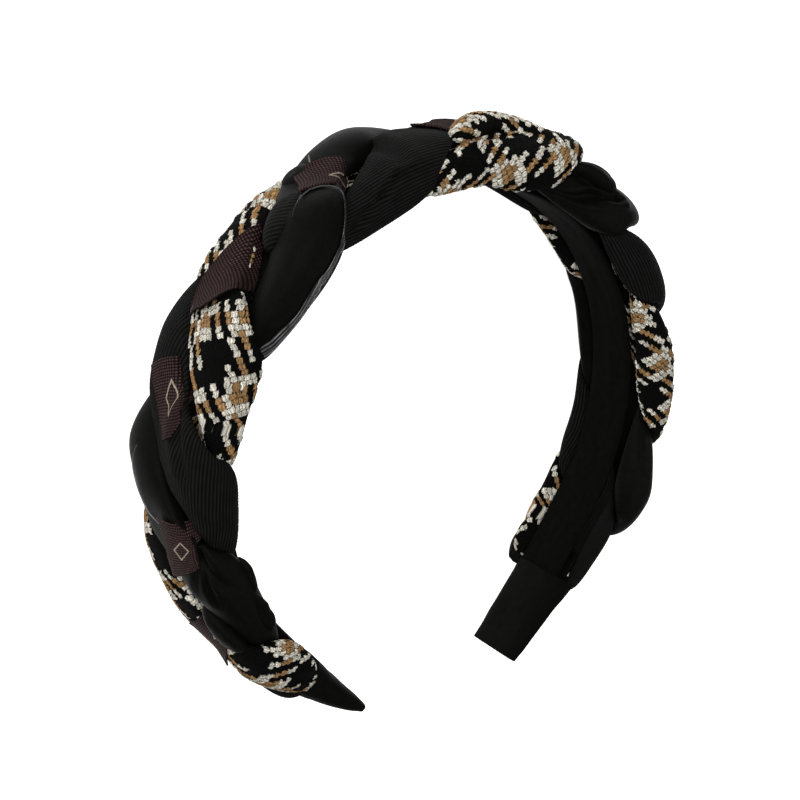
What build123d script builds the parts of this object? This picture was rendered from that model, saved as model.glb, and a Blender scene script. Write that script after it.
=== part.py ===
from build123d import *
from math import ceil, cos, floor, pi, radians, sin
import os

# Twist headband: a hoop with three padded strands twisted round it and a thin ribbon crossing the twist.
# Millimetres and degrees. The hoop lies on its side: its crown points to +Y, its front edge to +Z.

# Hoop. The twist line is the curve on which the strands sit; its crown is one arc and its legs are two more.
crown_radius = 65.0
crown_half_angle = 126.0
leg_radius = 900.0
left_leg_length = 41.5
right_leg_length = 47.0

# Band: a thin stiff strip covered in cloth. It lies a little nearer the front edge than the twist does.
band_width = 15.2
band_thickness = 2.0
band_corner = 0.7
band_top = 0.8
band_shift = 2.0
tip_inset = 2.0

# Twist: how wide and how thick it is, and how much of the hoop is left bare of it at each tip.
twist_half_width = 17.0
leg_narrowing = 2.7
narrowing_length = 190.0
twist_height = 14.0
head_side_depth = 3.0
left_end_run = 20.0
right_end_run = 24.0
end_taper = 16.0
end_width_share = 0.6
end_height_share = 0.72

# Strands in the twist's own section, where the angle runs from the front edge over the top to the back edge.
core_half_width = 9.2
core_most_share = 0.8
core_half_height = 0.9
power_above = 2.6
power_below = 3.4
strand_roundness = 2.3
overhang_angle = 24.0
lay_angle = 13.0
strand_gap = 0.045
first_valley_phase = -53.0
lobe_turn = 120.0
phase_blend = 5.0

# Waist: where a strand passes under the next one it is narrower and lower, which opens a small hole.
waist_width = 0.36
waist_depth = 0.15
waist_phase = 112.0
waist_span = 60.0

# Trough: the strands leave room for the band on the head side.
trough_clearance = 0.5
trough_margin = 2.0
trough_slope = 2.4

# Facets.
station_step = 3.2
strand_sides = 14
ribbon_rows = 6
ribbon_columns = 5
wrap_sides = 20
wrap_rows = 7

# Lobes along the front edge, from the left tip to the right one.
# Columns: the strand that shows, the lobe's length as a share of the mean lobe, and how far the strand
# stands proud at the front edge, on the outer face and at the back edge.
lobes = [
    ("tweed", 0.915, 0.0, 0.0, 0.0),
    ("satin", 1.100, 0.3, 0.0, 1.8),
    ("ribbed", 0.770, -1.0, 0.0, 0.0),
    ("tweed", 0.950, -2.0, 0.0, -1.0),
    ("satin", 1.135, 2.4, 0.5, 1.4),
    ("ribbed", 0.950, -1.2, -0.8, 0.0),
    ("tweed", 1.395, -3.6, 3.4, -4.0),
    ("satin", 0.950, -0.4, 1.0, -4.5),
    ("ribbed", 0.840, -0.2, 0.0, -4.5),
    ("tweed", 1.350, 0.6, 0.0, -3.0),
    ("satin", 0.915, 2.4, 0.0, 0.0),
    ("ribbed", 0.876, -2.5, 0.0, 0.0),
]
strand_names = ["tweed", "satin", "ribbed"]

# Ribbon: a strip that crosses each lobe the other way and tucks in beside the next strand.
ribbon_thickness = 0.7
ribbon_seat = 0.75
ribbon_tuck = 0.84
top_arc_per_degree = 0.34

# Ribbon turns, one on each lobe from the left tip.
# Columns: half width, half length, slant to the hoop, place on the lobe as a phase, section angle, and the
# share of the width that is left at the turn's first and last end, where it is gathered.
ribbon_turns = [
    (6.0, 8.0, 51.0, 94.0, 68.0, 1.0, 0.8),
    (6.2, 7.8, 84.0, 68.0, 64.0, 1.0, 0.6),
    (7.5, 8.0, -25.0, 106.0, 89.0, 0.2, 1.0),
    (8.5, 10.2, 29.0, 98.0, 86.0, 0.15, 1.0),
    (6.0, 9.8, 28.0, 108.0, 76.0, 0.9, 0.8),
    (6.6, 8.4, 51.0, 112.0, 88.0, 0.9, 0.7),
    (6.6, 8.4, 51.0, 120.0, 104.0, 0.9, 0.7),
    (6.6, 8.4, 51.0, 113.0, 82.0, 0.9, 0.7),
    (6.6, 8.4, 51.0, 113.0, 82.0, 0.9, 0.7),
    (6.6, 8.4, 51.0, 113.0, 82.0, 0.9, 0.7),
    (6.6, 8.4, 51.0, 113.0, 82.0, 0.9, 0.7),
]

# Tip wraps: cloth sleeves that close off the ends of the twist and run down to the tips.
wrap_gap = 0.4
wrap_half_width = 9.2
wrap_height = 8.6
tip_half_width = 8.5
wrap_wall = 0.7
wrap_clearance = 0.2
wrap_power = 3.4


# Hoop line

def leg_end(side):
    """Length of the twist line from the crown's middle to the tip on one side."""
    leg_length = right_leg_length if side > 0 else left_leg_length
    return radians(crown_half_angle) * crown_radius + leg_length


twist_start = left_end_run - leg_end(-1)
twist_end = leg_end(1) - right_end_run


def hoop_frame(s):
    """Place on the twist line at length s from the crown's middle, with the outward direction there."""
    length = abs(s)
    crown_length = radians(crown_half_angle) * crown_radius
    if length <= crown_length:
        turn = length / crown_radius
        x = crown_radius * sin(turn)
        y = crown_radius * cos(turn)
    else:
        joint = radians(crown_half_angle)
        turn = joint + (length - crown_length) / leg_radius
        x = crown_radius * sin(joint) + leg_radius * (sin(turn) - sin(joint))
        y = crown_radius * cos(joint) + leg_radius * (cos(turn) - cos(joint))
    side = 1 if s >= 0 else -1
    return side * x, y, side * sin(turn), cos(turn)


def place(s, across, out):
    """Point at length s, a distance across towards the front edge, and a distance out from the head."""
    x, y, out_x, out_y = hoop_frame(s)
    return Vector(x + out_x * out, y + out_y * out, across)


# Twist

def smooth_step(x):
    x = min(max(x, 0.0), 1.0)
    return x * x * (3 - 2 * x)


def valley_places():
    """Lengths of the valleys along the front edge, with the phase of the whole twist at each."""
    mean_lobe = (twist_end - twist_start) / sum(lobe[1] for lobe in lobes)
    places = [(twist_start, first_valley_phase)]
    for lobe in lobes:
        s, phase = places[-1]
        places.append((s + lobe[1] * mean_lobe, phase + lobe_turn))
    return places


def sharp_phase(s, places):
    """Phase of the twist at length s, straight between the valleys and carried on past the ends."""
    for (s0, phase0), (s1, phase1) in zip(places, places[1:]):
        if s <= s1 or (s1, phase1) == places[-1]:
            return phase0 + (phase1 - phase0) * (s - s0) / (s1 - s0)


def twist_phase(s, places):
    """The phase, blended over a short length so that the strands' lay changes gently."""
    steps = [-1.0, -0.5, 0.0, 0.5, 1.0]
    return sum(sharp_phase(s + step * phase_blend, places) for step in steps) / len(steps)


def phase_length(phase, places):
    """Length along the hoop at which the blended phase has the given value."""
    low, high = places[0][0] - phase_blend, places[-1][0] + phase_blend
    for step in range(40):
        middle = (low + high) / 2
        if twist_phase(middle, places) < phase:
            low = middle
        else:
            high = middle
    return (low + high) / 2


def end_share(s):
    """0 at the ends of the twist and 1 further in, rising as a quarter circle does."""
    inside = min(s - twist_start, twist_end - s) / end_taper
    inside = min(max(inside, 0.0), 1.0)
    return (1 - (1 - inside) ** 2) ** 0.5


def twist_size(s, proud):
    """Half width and height of the twist at length s, for a strand that stands proud by the given amount."""
    full_width = twist_half_width - leg_narrowing * (s / narrowing_length) ** 2 + proud
    width_share = end_width_share + (1 - end_width_share) * end_share(s)
    height_share = end_height_share + (1 - end_height_share) * end_share(s)
    return full_width * width_share, (twist_height + proud) * height_share


def signed_power(value, power):
    return abs(value) ** power if value >= 0 else -abs(value) ** power


def trough_floor(across):
    """Lowest place of the twist: at the head side by the edges, and raised clear of the band over it."""
    over_band = band_width / 2 + trough_margin
    rise = smooth_step((over_band + trough_slope - abs(across - band_shift)) / trough_slope)
    return -head_side_depth + (head_side_depth + band_top + trough_clearance) * rise


def section_place(s, angle, radial, proud):
    """Across and out of a point of the section: radial is 0 at the core and 1 at the outer face."""
    half_width, height = twist_size(s, proud)
    middle = (height - head_side_depth) / 2
    half_height = (height + head_side_depth) / 2
    core_width = min(core_half_width, core_most_share * half_width)
    reach = core_width + (half_width - core_width) * radial
    rise = core_half_height + (half_height - core_half_height) * radial
    power = 2 / (power_above if sin(radians(angle)) >= 0 else power_below)
    across = reach * signed_power(cos(radians(angle)), power)
    out = middle + rise * signed_power(sin(radians(angle)), power)
    core_low = middle - core_half_height
    if out < core_low:
        squeezed = trough_floor(across)
        out = core_low - (core_low - out) * (core_low - squeezed) / (core_low + head_side_depth)
    return across, out


def strand_proud(strand, phase):
    """How far a strand stands proud at its own phase: 0 at the front edge, 90 on top, 180 at the back."""
    turn = floor((phase + 90) / 360)
    row = strand_names.index(strand) + 3 * turn
    if row < 0 or row >= len(lobes):
        return 0.0
    front, top, back = lobes[row][2:]
    ahead = cos(radians(phase - 360 * turn))
    above = sin(radians(phase - 360 * turn))
    return front * max(ahead, 0.0) + top * max(above, 0.0) + back * max(-ahead, 0.0)


def waist_share(phase):
    """0 for a strand at its full size and 1 in the middle of its waist."""
    away = (phase - waist_phase + 180) % 360 - 180
    if abs(away) >= waist_span:
        return 0.0
    return cos(radians(90 * away / waist_span)) ** 2


def laid(angle):
    """Section angle with the strands' lay: steeper over the outer face than along the edges."""
    return angle + lay_angle * sin(radians(2 * angle))


def unlaid(angle):
    """The angle that the lay turns into the given one."""
    before = angle
    for step in range(8):
        before = angle - lay_angle * sin(radians(2 * before))
    return before


def strand_point(strand, s, phase, turn):
    """Point of a strand's skin at length s; turn goes once round the strand's own padded section."""
    power = 2 / strand_roundness
    waist = waist_share(phase)
    side = (1 - strand_gap - waist_width * waist) * signed_power(cos(turn), power)
    lift = signed_power(sin(turn), power)
    lie = phase + lobe_turn / 2 * side
    angle = laid(lie - overhang_angle * cos(radians(lie)) * lift)
    radial = (1 + lift) / 2 * (1 - waist_depth * waist)
    across, out = section_place(s, angle, radial, strand_proud(strand, phase) * max(lift, 0.0))
    return place(s, across, out)


def faceted(rings):
    """Closed solid of flat triangles through rings of as many points each, with fanned ends."""
    faces = []
    count = len(rings[0])
    for ring, following in zip(rings, rings[1:]):
        for k in range(count):
            a, b = ring[k], ring[(k + 1) % count]
            c, d = following[(k + 1) % count], following[k]
            faces.append(Face(Wire.make_polygon([a, b, c])))
            faces.append(Face(Wire.make_polygon([a, c, d])))
    for ring in (rings[0][::-1], rings[-1]):
        middle = sum(ring, Vector(0, 0, 0)) * (1 / count)
        for k in range(count):
            faces.append(Face(Wire.make_polygon([middle, ring[k], ring[(k + 1) % count]])))
    solid = Solid(Shell(faces))
    return solid if solid.volume > 0 else Solid(Shell([-face for face in faces]))


def make_strand(strand, places):
    index = strand_names.index(strand)
    count = ceil((twist_end - twist_start) / station_step)
    rings = []
    for station in range(count + 1):
        s = twist_start + (twist_end - twist_start) * station / count
        phase = twist_phase(s, places) - lobe_turn * index
        ring = [strand_point(strand, s, phase, 2 * pi * k / strand_sides) for k in range(strand_sides)]
        rings.append(ring)
    return faceted(rings)


# Ribbon

def strand_top(phase, angle):
    """Radial place and lift of a strand's outer face at a section angle, held inside its borders."""
    flat = unlaid(angle)
    turns = round((phase - flat) / 360)
    side = (flat + 360 * turns - phase) / (lobe_turn / 2)
    held = min(max(side, -ribbon_tuck), ribbon_tuck)
    lift = max(1 - (abs(held) / (1 - strand_gap)) ** strand_roundness, 0.0) ** (1 / strand_roundness)
    radial = (1 + lift) / 2 * (1 - waist_depth * waist_share(phase))
    return radial, lift, laid(flat - (side - held) * lobe_turn / 2)


def ribbon_point(lobe, along, wide, layer, places):
    """Point of a ribbon turn: along and wide run from -1 to 1, and layer is 0 below and 1 above."""
    half_width, half_length, slant, lobe_phase, section_angle, first_share, last_share = ribbon_turns[lobe]
    strand = lobes[lobe][0]
    middle = phase_length(lobe_turn * lobe + lobe_phase, places)
    length = along * half_length
    width = wide * half_width * (first_share + (last_share - first_share) * (along + 1) / 2)
    s = middle + length * cos(radians(slant)) + width * sin(radians(slant))
    shift = -length * sin(radians(slant)) + width * cos(radians(slant))
    phase = twist_phase(s, places) - lobe_turn * strand_names.index(strand)
    radial, lift, angle = strand_top(phase, section_angle + shift / top_arc_per_degree)
    across, out = section_place(s, angle, radial, strand_proud(strand, phase) * lift)
    return place(s, across, out + ribbon_seat + layer * ribbon_thickness)


def make_ribbon_turn(lobe, places):
    rings = []
    for row in range(ribbon_rows + 1):
        along = 2 * row / ribbon_rows - 1
        wides = [2 * column / ribbon_columns - 1 for column in range(ribbon_columns + 1)]
        below = [ribbon_point(lobe, along, wide, 0, places) for wide in wides]
        above = [ribbon_point(lobe, along, wide, 1, places) for wide in reversed(wides)]
        rings.append(below + above)
    return faceted(rings)


# Band

def band_path(stops):
    """The twist line as one wire of arcs between the given lengths."""
    edges = []
    for start, stop in zip(stops, stops[1:]):
        points = [place(s, band_shift, 0) for s in (start, (start + stop) / 2, stop)]
        edges.append(Edge.make_three_point_arc(*points))
    return Wire(edges)


def band_section(s, growth):
    """The band's rounded section across the hoop at length s, grown all round by the given amount."""
    x, y, out_x, out_y = hoop_frame(s)
    origin = place(s, band_shift, band_top - band_thickness / 2)
    plane = Plane(origin=origin, x_dir=(0, 0, 1), z_dir=(out_y, -out_x, 0))
    width = band_width + 2 * growth
    thickness = band_thickness + 2 * growth
    return plane * RectangleRounded(width, thickness, band_corner)


def make_band():
    crown_length = radians(crown_half_angle) * crown_radius
    left = -leg_end(-1) + tip_inset
    right = leg_end(1) - tip_inset
    path = band_path([left, -crown_length, 0.0, crown_length, right])
    return sweep(band_section(left, 0.0), path=path)


# Tip wraps

def wrap_ring(s, share):
    """Ring of points round a tip wrap at length s, where share runs from the twist to the tip."""
    half_width = tip_half_width + (wrap_half_width - tip_half_width) * (1 - share)
    tip_height = band_top + wrap_wall
    high = tip_height + (wrap_height - tip_height) * (1 - share)
    low = band_top - band_thickness - wrap_wall
    ring = []
    for k in range(wrap_sides):
        turn = 2 * pi * (k + 0.5) / wrap_sides
        across = band_shift + half_width * signed_power(cos(turn), 2 / wrap_power)
        out = (high + low) / 2 + (high - low) / 2 * signed_power(sin(turn), 2 / wrap_power)
        ring.append(place(s, across, out))
    return ring


def make_tip_wrap(side):
    start = (twist_end if side > 0 else -twist_start) + wrap_gap
    end = leg_end(side)
    rings = []
    for row in range(wrap_rows + 1):
        share = row / wrap_rows
        rings.append(wrap_ring(side * (start + (end - start) * share), share))
    slot_start = start - 1.0
    slot_end = end - tip_inset + wrap_clearance
    path = band_path([side * slot_start, side * slot_end])
    slot = sweep(band_section(side * slot_start, wrap_clearance), path=path)
    return faceted(rings) - slot


# Assembly

def build():
    places = valley_places()
    parts = {"band": make_band()}
    for strand in strand_names:
        parts["strand_" + strand] = make_strand(strand, places)
    for lobe in range(len(ribbon_turns)):
        parts["ribbon_turn_%02d" % (lobe + 1)] = make_ribbon_turn(lobe, places)
    parts["tip_wrap_left"] = make_tip_wrap(-1)
    parts["tip_wrap_right"] = make_tip_wrap(1)
    box = Compound(list(parts.values())).bounding_box()
    middle = box.center()
    onto_floor = Location(Vector(-middle.X, -middle.Y, -box.min.Z))
    return {name: onto_floor * shape for name, shape in parts.items()}


os.makedirs("parts", exist_ok=True)
for name, shape in build().items():
    export_step(shape, "parts/" + name + ".step")
    print(name, round(shape.volume), "mm3")
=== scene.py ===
# Twist headband, dressed: padded fabrics, crossing ribbon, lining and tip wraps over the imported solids.
from math import cos, pi, radians, sin

import bpy
import numpy as np
from mathutils import Matrix, Vector


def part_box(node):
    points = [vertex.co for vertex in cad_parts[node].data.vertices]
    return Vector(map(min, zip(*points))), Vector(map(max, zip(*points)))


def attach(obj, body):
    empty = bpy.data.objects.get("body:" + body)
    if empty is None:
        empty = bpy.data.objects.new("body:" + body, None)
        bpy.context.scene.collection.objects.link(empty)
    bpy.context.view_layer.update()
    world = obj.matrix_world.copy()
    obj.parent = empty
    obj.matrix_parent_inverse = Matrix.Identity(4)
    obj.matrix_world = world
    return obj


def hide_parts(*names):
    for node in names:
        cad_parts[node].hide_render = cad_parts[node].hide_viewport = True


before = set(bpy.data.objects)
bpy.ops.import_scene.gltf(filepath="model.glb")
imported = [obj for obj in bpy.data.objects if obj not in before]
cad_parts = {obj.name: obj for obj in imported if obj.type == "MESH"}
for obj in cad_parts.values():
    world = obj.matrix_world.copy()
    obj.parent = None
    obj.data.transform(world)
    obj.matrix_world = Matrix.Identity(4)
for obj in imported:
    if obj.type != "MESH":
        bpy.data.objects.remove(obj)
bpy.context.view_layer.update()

mm = 0.001

# Sizes of the model, in millimetres and degrees, as in the part's own source.
crown_radius = 65.0
crown_half_angle = 126.0
leg_radius = 900.0
left_leg_length = 41.5
right_leg_length = 47.0
band_width = 15.2
band_thickness = 2.0
band_top = 0.8
band_shift = 2.0
tip_inset = 2.0
twist_half_width = 17.0
leg_narrowing = 2.7
narrowing_length = 190.0
twist_height = 14.0
head_side_depth = 3.0
left_end_run = 20.0
right_end_run = 24.0
end_taper = 16.0
end_width_share = 0.6
end_height_share = 0.72
core_half_width = 9.2
core_most_share = 0.8
core_half_height = 0.9
power_above = 2.6
power_below = 3.4
strand_roundness = 2.3
overhang_angle = 24.0
lay_angle = 13.0
first_valley_phase = -53.0
lobe_turn = 120.0
phase_blend = 5.0
waist_width = 0.36
waist_depth = 0.15
waist_phase = 112.0
waist_span = 60.0
top_arc_per_degree = 0.34

# Sizes that are the scene's own, because its cloth lies closer than the solids do.
strand_gap = 0.03
satin_trim = 0.3
trim_phase = 12.0
trim_span = 60.0
trough_clearance = 0.4
trough_margin = 0.7
trough_slope = 3.2

# How finely the twist's two inverse functions are worked out.
phase_samples = 8000
unlay_rounds = 8

# Lobes along the front edge: strand, length share, and how far proud at the front, on top and at the back.
lobes = [
    ("tweed", 0.915, 0.0, 0.0, 0.0),
    ("satin", 1.100, 0.3, 0.0, 1.8),
    ("ribbed", 0.770, -1.0, 0.0, 0.0),
    ("tweed", 0.950, -2.0, 0.0, -1.0),
    ("satin", 1.135, 2.4, 0.5, 1.4),
    ("ribbed", 0.950, -1.2, -0.8, 0.0),
    ("tweed", 1.395, -3.6, 3.4, -4.0),
    ("satin", 0.950, -0.4, 1.0, -4.5),
    ("ribbed", 0.840, -0.2, 0.0, -4.5),
    ("tweed", 1.350, 0.6, 0.0, -3.0),
    ("satin", 0.915, 2.4, 0.0, 0.0),
    ("ribbed", 0.876, -2.5, 0.0, 0.0),
]
strand_names = ["tweed", "satin", "ribbed"]

# Ribbon turns. Columns: half width, half length, slant to the hoop, place on the lobe as a phase, section
# angle, and the share of the width that is left at the first and last end, where the ribbon is gathered.
ribbon_turns = [
    (6.0, 8.0, 51.0, 94.0, 68.0, 1.0, 0.8),
    (6.2, 7.8, 84.0, 68.0, 64.0, 1.0, 0.6),
    (7.5, 8.0, -25.0, 106.0, 89.0, 0.2, 1.0),
    (8.5, 10.2, 29.0, 98.0, 86.0, 0.15, 1.0),
    (6.0, 9.8, 28.0, 108.0, 76.0, 0.9, 0.8),
    (6.6, 8.4, 51.0, 112.0, 88.0, 0.9, 0.7),
    (6.6, 8.4, 51.0, 120.0, 104.0, 0.9, 0.7),
] + 4 * [(6.6, 8.4, 51.0, 113.0, 82.0, 0.9, 0.7)]
ribbon_seat = 0.75
ribbon_thickness = 0.5
ribbon_tuck = 0.84
ribbon_dive = 4.0
# By turn, counted from 0: the tuck and the swell of those that reach over the whole lobe, and those that show
# no lozenge.
wide_ribbon_tucks = {3: (0.99, 1.13)}
bare_turns = [3, 5]

# The hoop's centre in the row frame, read from the band.
band_low, band_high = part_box("band")
hoop_centre = np.array([
    (band_low.x + band_high.x) / 2,
    band_high.y - (crown_radius + band_top) * mm,
    (band_low.z + band_high.z) / 2 - band_shift * mm,
])


# Hoop line

def leg_end(side):
    """Length along the hoop from the middle of the crown to a tip."""
    leg_length = right_leg_length if side > 0 else left_leg_length
    return radians(crown_half_angle) * crown_radius + leg_length


twist_start = left_end_run - leg_end(-1)
twist_end = leg_end(1) - right_end_run


def place(s, across, out):
    """Points in metres at lengths s along the hoop, across to the front edge and out from the head."""
    s, across, out = np.broadcast_arrays(s, across, out)
    length = np.abs(s)
    joint = radians(crown_half_angle)
    crown_length = joint * crown_radius
    on_crown = length <= crown_length
    turn = np.where(on_crown, length / crown_radius, joint + (length - crown_length) / leg_radius)
    leg_x = crown_radius * sin(joint) + leg_radius * (np.sin(turn) - sin(joint))
    leg_y = crown_radius * cos(joint) + leg_radius * (np.cos(turn) - cos(joint))
    x = np.where(on_crown, crown_radius * np.sin(turn), leg_x)
    y = np.where(on_crown, crown_radius * np.cos(turn), leg_y)
    side = np.where(s >= 0, 1.0, -1.0)
    points = np.stack([side * (x + np.sin(turn) * out), y + np.cos(turn) * out, across], axis=-1)
    return hoop_centre + points * mm


# Twist

def smooth_step(x):
    x = np.clip(x, 0.0, 1.0)
    return x * x * (3 - 2 * x)


def twist_phase(s):
    """Phase of the twist at lengths s, blended over a short length."""
    mean_lobe = (twist_end - twist_start) / sum(lobe[1] for lobe in lobes)
    lengths = twist_start + np.concatenate([[0.0], np.cumsum([lobe[1] * mean_lobe for lobe in lobes])])
    phases = first_valley_phase + lobe_turn * np.arange(len(lobes) + 1)
    lengths = np.concatenate([[2 * lengths[0] - lengths[1]], lengths, [2 * lengths[-1] - lengths[-2]]])
    phases = np.concatenate([[phases[0] - lobe_turn], phases, [phases[-1] + lobe_turn]])
    steps = [-1.0, -0.5, 0.0, 0.5, 1.0]
    return sum(np.interp(s + step * phase_blend, lengths, phases) for step in steps) / len(steps)


def phase_length(phase):
    """Lengths at which the twist has the given phases."""
    s = np.linspace(twist_start - phase_blend, twist_end + phase_blend, phase_samples)
    return np.interp(phase, twist_phase(s), s)


def twist_size(s, proud):
    """Half width and height of the whole twist at lengths s."""
    inside = np.clip(np.minimum(s - twist_start, twist_end - s) / end_taper, 0.0, 1.0)
    end_share = np.sqrt(1 - (1 - inside) ** 2)
    full_width = twist_half_width - leg_narrowing * (s / narrowing_length) ** 2 + proud
    width_share = end_width_share + (1 - end_width_share) * end_share
    height_share = end_height_share + (1 - end_height_share) * end_share
    return full_width * width_share, (twist_height + proud) * height_share


def signed_power(value, power):
    return np.sign(value) * np.abs(value) ** power


def section_place(s, angle, radial, proud):
    """Across and out of points of the section: radial is 0 at the core and 1 at the outer face."""
    half_width, height = twist_size(s, proud)
    middle = (height - head_side_depth) / 2
    half_height = (height + head_side_depth) / 2
    core_width = np.minimum(core_half_width, core_most_share * half_width)
    reach = core_width + (half_width - core_width) * radial
    rise = core_half_height + (half_height - core_half_height) * radial
    power = np.where(np.sin(np.radians(angle)) >= 0, 2 / power_above, 2 / power_below)
    across = reach * signed_power(np.cos(np.radians(angle)), power)
    out = middle + rise * signed_power(np.sin(np.radians(angle)), power)
    over_band = band_width / 2 + trough_margin
    floor_rise = smooth_step((over_band + trough_slope - np.abs(across - band_shift)) / trough_slope)
    floor_here = -head_side_depth + (head_side_depth + band_top + trough_clearance) * floor_rise
    core_low = middle - core_half_height
    squeezed = core_low - (core_low - out) * (core_low - floor_here) / (core_low + head_side_depth)
    return across, np.where(out < core_low, squeezed, out)


def strand_proud(strand, phase):
    """How far the strand's lobe at this phase stands proud of the twist."""
    turn = np.floor((phase + 90) / 360)
    row = (strand_names.index(strand) + 3 * turn).astype(int)
    known = (row >= 0) & (row < len(lobes))
    row = np.clip(row, 0, len(lobes) - 1)
    front, top, back = (np.array([lobe[k] for lobe in lobes])[row] for k in (2, 3, 4))
    ahead = np.cos(np.radians(phase - 360 * turn))
    above = np.sin(np.radians(phase - 360 * turn))
    proud = front * np.maximum(ahead, 0) + top * np.maximum(above, 0) + back * np.maximum(-ahead, 0)
    return np.where(known, proud, 0.0)


def phase_share(phase, middle, span):
    """1 at one phase of every turn, and down to 0 a span away from it."""
    away = (phase - middle + 180) % 360 - 180
    return np.where(np.abs(away) < span, np.cos(np.radians(90 * away / span)) ** 2, 0.0)


def waist_share(phase):
    """How far a strand is drawn in by the ribbon turn that crosses it."""
    return phase_share(phase, waist_phase, waist_span)


def trim_share(phase):
    """Where the satin is narrower on its back side, just before each ribbon turn."""
    return phase_share(phase, trim_phase, trim_span)


def laid(angle):
    """Section angles drawn towards the top and the underside."""
    return angle + lay_angle * np.sin(np.radians(2 * angle))


def unlaid(angle):
    """The angles that laid() turns into the given ones."""
    before = angle
    for _ in range(unlay_rounds):
        before = angle - lay_angle * np.sin(np.radians(2 * before))
    return before


def strand_surface(strand, s, turn):
    """Points of a strand's skin, with the section angle and the lift off the core at each."""
    phase = twist_phase(s) - lobe_turn * strand_names.index(strand)
    power = 2 / strand_roundness
    waist = waist_share(phase)
    side = (1 - strand_gap - waist_width * waist) * signed_power(np.cos(turn), power)
    if strand == "satin":
        side = side - satin_trim * trim_share(phase) * np.maximum(side, 0)
    lift = signed_power(np.sin(turn), power)
    lie = phase + lobe_turn / 2 * side
    angle = laid(lie - overhang_angle * np.cos(np.radians(lie)) * lift)
    radial = (1 + lift) / 2 * (1 - waist_depth * waist)
    proud = strand_proud(strand, phase) * np.maximum(lift, 0)
    across, out = section_place(s, angle, radial, proud)
    return place(s, across, out), angle, np.broadcast_to(lift, angle.shape)


# Noise and fabrics as heights, in millimetres

noise_seed = 7
noise_cells = 64
noise_table = np.random.RandomState(noise_seed).rand(noise_cells, noise_cells)


def noise(x, y):
    """Smooth noise from 0 to 1, with features one unit across."""
    column, row = np.floor(x).astype(int), np.floor(y).astype(int)
    across, down = smooth_step(x - column), smooth_step(y - row)
    rows = (row % noise_cells, (row + 1) % noise_cells)
    columns = (column % noise_cells, (column + 1) % noise_cells)
    corner = [noise_table[i, j] for i in rows for j in columns]
    upper = corner[0] * (1 - across) + corner[1] * across
    lower = corner[2] * (1 - across) + corner[3] * across
    return upper * (1 - down) + lower * down


def ripple(depth, x, y, start):
    """Smooth waves from minus to plus half the depth. Start is the place in the noise table."""
    return depth * (noise(x + start[0], y + start[1]) - 0.5)


# The tweed's repeat: stitch sizes in millimetres, and bands of colour counted in stitches.
tweed_row = 1.34
tweed_column = 1.6
tweed_lean = -0.5
ply_share = 0.42
tweed_start = 4.2
tweed_side_start = 4.5
tweed_rows = [("cream", 2), ("tan", 2), ("cream", 2), ("ground", 6)]
tweed_columns = [("cream", 1.3), ("tan", 1.4), ("cream", 1.3), ("ground", 4)]
ground_stitch_height = 0.12
coloured_stitch_height = 0.4
stitch_squareness = 4
stitch_fullness = 0.5


def band_mask(bands, place_on):
    """1 where a place on the repeat of coloured bands is coloured and 0 where it is ground."""
    coloured = sum(width for name, width in bands if name != "ground")
    return (place_on % sum(width for name, width in bands) < coloured) * 1.0


def tweed_relief(u, v):
    """Height of the tweed's stitches at u along and v across it: slanted rows, raised where coloured."""
    y = u / tweed_row
    row = np.floor(y)
    x = v / tweed_column - tweed_lean * row
    column = np.floor(x)
    from_weft = band_mask(tweed_rows, row)
    from_warp = band_mask(tweed_columns, column + 0.5 + tweed_lean * row)
    coloured = np.where(column % 2 == 0, from_weft, from_warp)
    side = 1 - np.abs(2 * (x - column) - 1) ** stitch_squareness
    end = 1 - np.abs(2 * (y - row) - 1) ** stitch_squareness
    return (ground_stitch_height + coloured_stitch_height * coloured) * (side * end) ** stitch_fullness


rib_pitch = 0.92
rib_height = 0.13
rib_fullness = 0.7


def rib_relief(v):
    return rib_height * np.abs(np.sin(pi * v / rib_pitch)) ** rib_fullness


# Creases: each is a line on one strand's skin, given as hoop length and section angle from end to end.
# Columns: strand, start length, start angle, end length, end angle, depth, half width.
creases = [
    ("tweed", -5.0, 34.0, 5.0, 52.0, 3.2, 1.5),
    ("tweed", 5.0, 52.0, 18.0, 70.0, 3.2, 1.5),
    ("ribbed", -30.0, -4.0, -21.5, 11.0, 1.5, 1.2),
    ("ribbed", -21.5, 11.0, -16.3, 26.0, 1.5, 1.2),
    ("ribbed", -16.3, 26.0, -8.0, 22.0, 1.2, 1.2),
    ("ribbed", -12.7, 92.0, -13.2, 44.0, 1.3, 1.6),
    ("ribbed", -84.0, 76.0, -93.0, 52.0, 1.4, 1.5),
    ("satin", -109.5, 35.0, -118.5, 6.0, 1.4, 1.3),
    ("satin", -109.5, 35.0, -121.0, 26.0, 1.3, 1.2),
    ("satin", -109.5, 35.0, -118.0, 50.0, 1.1, 1.2),
    ("satin", 49.0, 26.0, 36.5, 12.0, 1.2, 1.2),
    ("satin", 48.5, 22.0, 34.8, -18.0, 1.3, 1.3),
    ("satin", 48.0, 18.0, 28.0, -28.0, 1.1, 1.3),
]
crease_fade = 0.6
lip_share = 0.3
lip_place = 2.2
groove_depth = 1.5
groove_half_width = 5.5


def ribbon_grooves():
    """A shallow groove round the strand under each ribbon turn, as a crease."""
    grooves = []
    for lobe, (_, half_length, slant, lobe_phase, middle, *_) in enumerate(ribbon_turns):
        s = phase_length(lobe_turn * lobe + lobe_phase)
        along, across = half_length * cos(radians(abs(slant))), half_length * sin(radians(abs(slant)))
        turned = across / top_arc_per_degree
        ends = (s - along, middle + turned, s + along, middle - turned)
        grooves.append((lobes[lobe][0], *ends, groove_depth, groove_half_width))
    return grooves


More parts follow.
